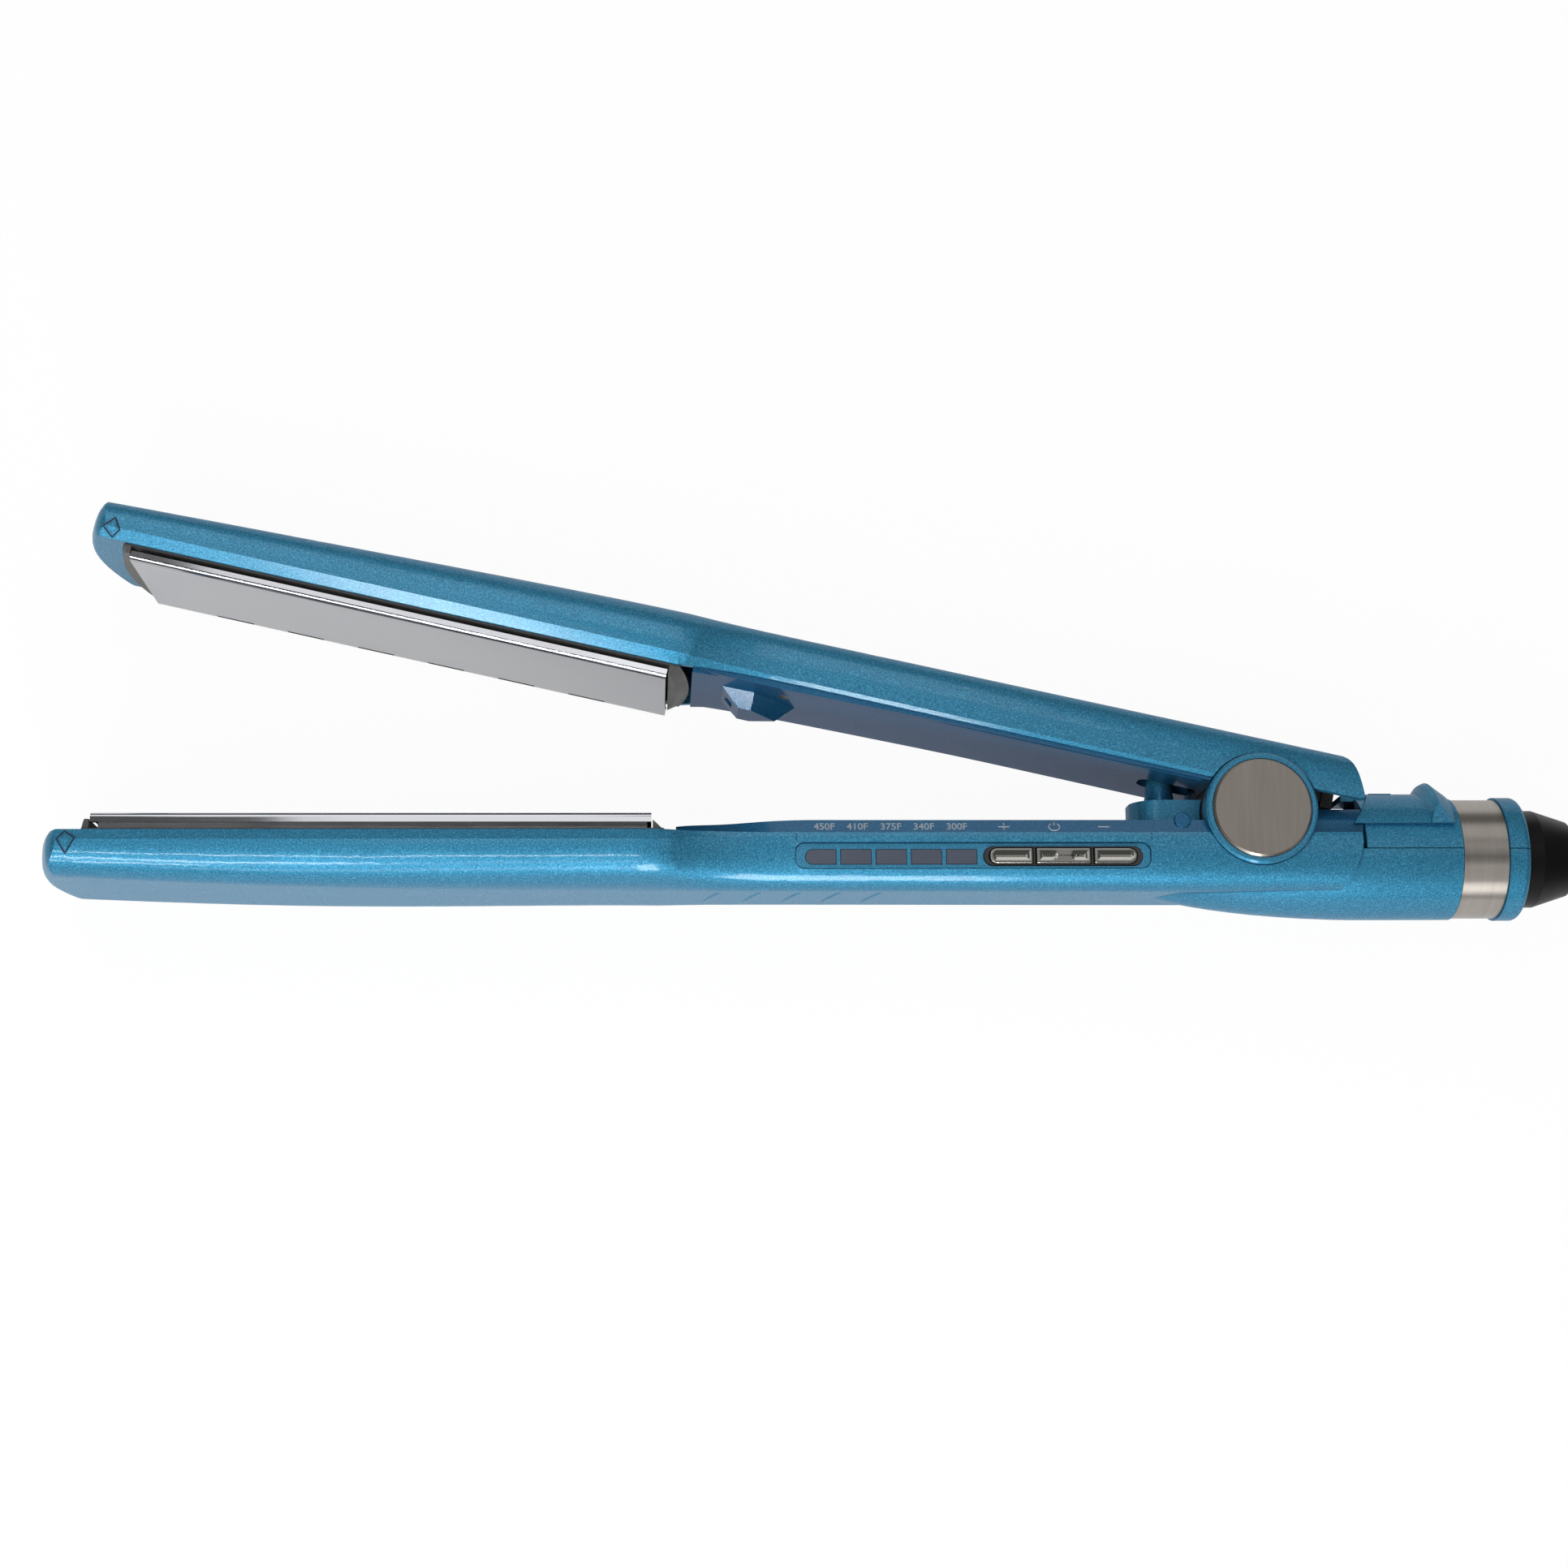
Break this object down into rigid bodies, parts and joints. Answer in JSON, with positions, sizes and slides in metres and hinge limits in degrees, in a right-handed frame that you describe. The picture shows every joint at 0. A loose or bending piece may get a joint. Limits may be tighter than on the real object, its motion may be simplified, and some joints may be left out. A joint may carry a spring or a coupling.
{
  "type": "hair straightening iron",
  "caption": "Hair straightening iron with wide floating mirror plates, a sprung hinge between discs, side buttons and light windows, a sliding lock and a swivel cord gland.",
  "frame": {"origin": "centre of the far hinge disc's outer face, on the hinge axis", "axes": "+X from the plates to the cord gland along the lower arm, +Y from the lower arm to the upper arm, +Z along the hinge pin towards the side with the buttons"},
  "size_m": [0.3644, 0.0965, 0.043],
  "materials": {
    "pearl_blue": "pearl metallic, glossy",
    "deep_blue": "pearl metallic, glossy",
    "charcoal": "fine matte",
    "plate_mirror": "polished",
    "bar_aluminium": "milled",
    "ceramic": "matte ceramic",
    "spring_steel": "drawn wire",
    "screw_steel": "turned",
    "lead_sleeve": "silicone sleeve",
    "window_smoke": "smoked gloss",
    "light": "clear",
    "panel_black": "gloss",
    "button_chrome": "polished",
    "board": "solder mask",
    "pewter": "brushed pewter",
    "black_plastic": "fine matte"
  },
  "bodies": {
    "lower_arm": {"lower_outer_shell": "pearl_blue", "lower_inner_cover": "deep_blue", "lower_plate_frame": "charcoal", "lower_float_springs": "spring_steel", "lower_cover_screws": "screw_steel", "lower_leads": "lead_sleeve", "control_panel": "pearl_blue", "led_windows": "window_smoke", "leds": "light", "button_surround": "panel_black", "circuit_board": "board", "tact_switches": "black_plastic", "hinge_ring_near": "pearl_blue", "hinge_ring_far": "pearl_blue", "hinge_disc_near": "pewter", "hinge_disc_far": "pewter", "hinge_pin": "screw_steel", "hinge_washers": "screw_steel", "hinge_spring": "spring_steel", "lead_duct": "pearl_blue", "barrel_top_cover": "pearl_blue", "steel_band": "pewter", "rear_cap_lower": "pearl_blue", "rear_cap_upper": "pearl_blue", "contact_plate": "black_plastic", "supply_leads": "lead_sleeve", "lock_bed": "charcoal"},
    "lower_plate": {"lower_plate": "plate_mirror", "lower_plate_carrier": "bar_aluminium", "lower_heater": "ceramic", "lower_thermistor": "ceramic"},
    "upper_plate": {"upper_plate": "plate_mirror", "upper_plate_carrier": "bar_aluminium", "upper_heater": "ceramic", "upper_thermistor": "ceramic"},
    "button_plus": {"button_plus": "button_chrome"},
    "button_power": {"button_power": "button_chrome"},
    "button_minus": {"button_minus": "button_chrome"},
    "lock_slider": {"lock_slider": "pearl_blue"},
    "swivel_gland": {"swivel_gland": "black_plastic"},
    "upper_arm": {"upper_outer_shell": "pearl_blue", "upper_inner_cover": "deep_blue", "upper_plate_frame": "charcoal", "upper_float_springs": "spring_steel", "upper_cover_screws": "screw_steel", "upper_leads": "lead_sleeve", "hinge_knuckle": "charcoal", "lock_catch": "charcoal"}
  },
  "joints": [
    {"name": "arm_hinge", "type": "hinge", "parent": "lower_arm", "child": "upper_arm", "pos_m": [0, 0, 0.0178], "axis": [0, 0, 1], "range_deg": [0, 12.75], "stiffness_Nm_per_rad": 1.2, "springref_deg": -9.74},
    {"name": "lower_plate_float", "type": "slide", "parent": "lower_arm", "child": "lower_plate", "axis": [0, -1, 0], "range_m": [0, 0.0008], "stiffness_N_per_m": 4000, "springref_m": -0.001, "deforming": ["lower_float_springs"]},
    {"name": "upper_plate_float", "type": "slide", "parent": "upper_arm", "child": "upper_plate", "axis": [0.2207, 0.9753, 0], "range_m": [0, 0.0008], "stiffness_N_per_m": 4000, "springref_m": -0.001, "deforming": ["upper_float_springs"]},
    {"name": "lock_slide", "type": "slide", "parent": "lower_arm", "child": "lock_slider", "axis": [-1, 0, 0], "range_m": [0, 0.0055]},
    {"name": "button_plus_press", "type": "slide", "parent": "lower_arm", "child": "button_plus", "axis": [0, 0, -1], "range_m": [0, 0.0006], "stiffness_N_per_m": 500},
    {"name": "button_power_press", "type": "slide", "parent": "lower_arm", "child": "button_power", "axis": [0, 0, -1], "range_m": [0, 0.0006], "stiffness_N_per_m": 500},
    {"name": "button_minus_press", "type": "slide", "parent": "lower_arm", "child": "button_minus", "axis": [0, 0, -1], "range_m": [0, 0.0006], "stiffness_N_per_m": 500},
    {"name": "gland_swivel", "type": "hinge", "parent": "lower_arm", "child": "swivel_gland", "pos_m": [0.07, -0.0091, 0.0178], "axis": [1, 0, 0], "continuous": true}
  ]
}
